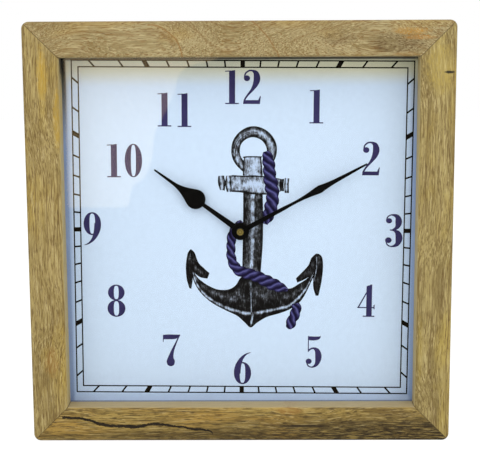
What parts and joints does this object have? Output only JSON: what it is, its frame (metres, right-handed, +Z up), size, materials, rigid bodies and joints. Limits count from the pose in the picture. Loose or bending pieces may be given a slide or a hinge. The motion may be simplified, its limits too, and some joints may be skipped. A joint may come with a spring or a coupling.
{
  "type": "wall and shelf clock",
  "caption": "Square wall and shelf clock with a deep mitred wooden frame, a printed dial behind glass, teardrop hands and a geared quartz movement.",
  "frame": {"origin": "middle of the frame's bottom face, where it stands on a shelf", "axes": "+Z up, the dial looks along -Y, +X is to the right as seen from the front; +Y points to the wall"},
  "size_m": [0.3, 0.05, 0.3],
  "materials": {
    "mango_wood": "oiled, satin",
    "shadow_strip": "plain softwood",
    "pine_strip": "plain softwood",
    "zinc_steel": "zinc plated",
    "window_glass": "clear, polished",
    "dial_paper": "printed paper, matt",
    "fibre_board": "hardboard, matt",
    "black_rubber": "matt",
    "turned_brass": "lightly tarnished",
    "case_plastic": "fine moulded texture",
    "white_plastic": "moulded, satin",
    "gear_plastic": "moulded acetal",
    "knob_plastic": "moulded, satin",
    "magnet_alloy": "sintered",
    "stator_steel": "stamped sheet",
    "copper_wire": "enamelled copper",
    "circuit_laminate": "bare laminate",
    "chip_resin": "potting resin",
    "crystal_can": "drawn metal can",
    "cell_sleeve": "printed plastic sleeve, plain",
    "black_hand": "black enamel, satin"
  },
  "bodies": {
    "clock": {"battery_cell": "cell_sleeve", "bush_washer": "turned_brass", "case_back": "case_plastic", "case_front": "case_plastic", "circuit_board": "circuit_laminate", "coil_bobbin": "white_plastic", "coil_core": "stator_steel", "coil_winding": "copper_wire", "contact_minus": "zinc_steel", "contact_plus": "zinc_steel", "controller_chip": "chip_resin", "corner_wedges": "zinc_steel", "cushion_pad": "black_rubber", "dial_board": "fibre_board", "dial_face": "dial_paper", "fixing_nut": "turned_brass", "frame_bottom_rail": "mango_wood", "frame_left_stile": "mango_wood", "frame_right_stile": "mango_wood", "frame_top_rail": "mango_wood", "gear_plate": "white_plastic", "glass_pane": "window_glass", "hanger_plate": "zinc_steel", "quartz_crystal": "crystal_can", "retainer_bottom": "pine_strip", "retainer_left": "pine_strip", "retainer_right": "pine_strip", "retainer_top": "pine_strip", "spacer_bottom": "shadow_strip", "spacer_left": "shadow_strip", "spacer_right": "shadow_strip", "spacer_top": "shadow_strip", "stator": "stator_steel"},
    "minute_arbor": {"minute_shaft": "gear_plastic", "minute_hand": "black_hand", "hand_nut": "turned_brass"},
    "hour_pipe": {"hour_wheel": "gear_plastic", "hour_hand": "black_hand"},
    "motion_wheel": {"motion_wheel": "gear_plastic"},
    "setting_knob": {"setting_knob": "knob_plastic"},
    "rotor": {"rotor_pinion": "gear_plastic", "rotor_magnet": "magnet_alloy"},
    "intermediate_wheel": {"intermediate_wheel": "gear_plastic"},
    "seconds_wheel": {"seconds_wheel": "gear_plastic"},
    "third_wheel": {"third_wheel": "gear_plastic"},
    "centre_wheel": {"centre_wheel": "gear_plastic"}
  },
  "joints": [
    {"name": "minute_hand_turn", "type": "hinge", "parent": "clock", "child": "minute_arbor", "pos_m": [0, 0, 0.15], "axis": [0, 1, 0], "continuous": true},
    {"name": "hour_hand_turn", "type": "hinge", "parent": "clock", "child": "hour_pipe", "pos_m": [0, 0, 0.15], "axis": [0, 1, 0], "continuous": true},
    {"name": "motion_wheel_turn", "type": "hinge", "parent": "clock", "child": "motion_wheel", "pos_m": [-0.00789, 0.009, 0.15287], "axis": [0, 1, 0], "continuous": true},
    {"name": "setting_knob_turn", "type": "hinge", "parent": "clock", "child": "setting_knob", "pos_m": [-0.01677, 0.015, 0.14964], "axis": [0, 1, 0], "continuous": true},
    {"name": "rotor_turn", "type": "hinge", "parent": "clock", "child": "rotor", "pos_m": [0.00087, 0.016, 0.16117], "axis": [0, 1, 0], "continuous": true},
    {"name": "intermediate_wheel_turn", "type": "hinge", "parent": "clock", "child": "intermediate_wheel", "pos_m": [-0.00104, 0.0155, 0.15591], "axis": [0, 1, 0], "continuous": true},
    {"name": "seconds_wheel_turn", "type": "hinge", "parent": "clock", "child": "seconds_wheel", "pos_m": [0, 0.0145, 0.15], "axis": [0, 1, 0], "continuous": true},
    {"name": "third_wheel_turn", "type": "hinge", "parent": "clock", "child": "third_wheel", "pos_m": [0.00799, 0.0135, 0.15291], "axis": [0, 1, 0], "continuous": true},
    {"name": "centre_wheel_turn", "type": "hinge", "parent": "clock", "child": "centre_wheel", "pos_m": [0, 0.011, 0.15], "axis": [0, 1, 0], "continuous": true}
  ],
  "couplings": [
    {"joint": "hour_hand_turn", "follows": "minute_hand_turn", "ratio": 0.083333},
    {"joint": "motion_wheel_turn", "follows": "minute_hand_turn", "ratio": -0.33333},
    {"joint": "setting_knob_turn", "follows": "minute_hand_turn", "ratio": 0.66667},
    {"joint": "intermediate_wheel_turn", "follows": "rotor_turn", "ratio": -0.16667},
    {"joint": "seconds_wheel_turn", "follows": "rotor_turn", "ratio": 0.033333},
    {"joint": "third_wheel_turn", "follows": "rotor_turn", "ratio": -0.0044444},
    {"joint": "centre_wheel_turn", "follows": "rotor_turn", "ratio": 0.00055556}
  ]
}
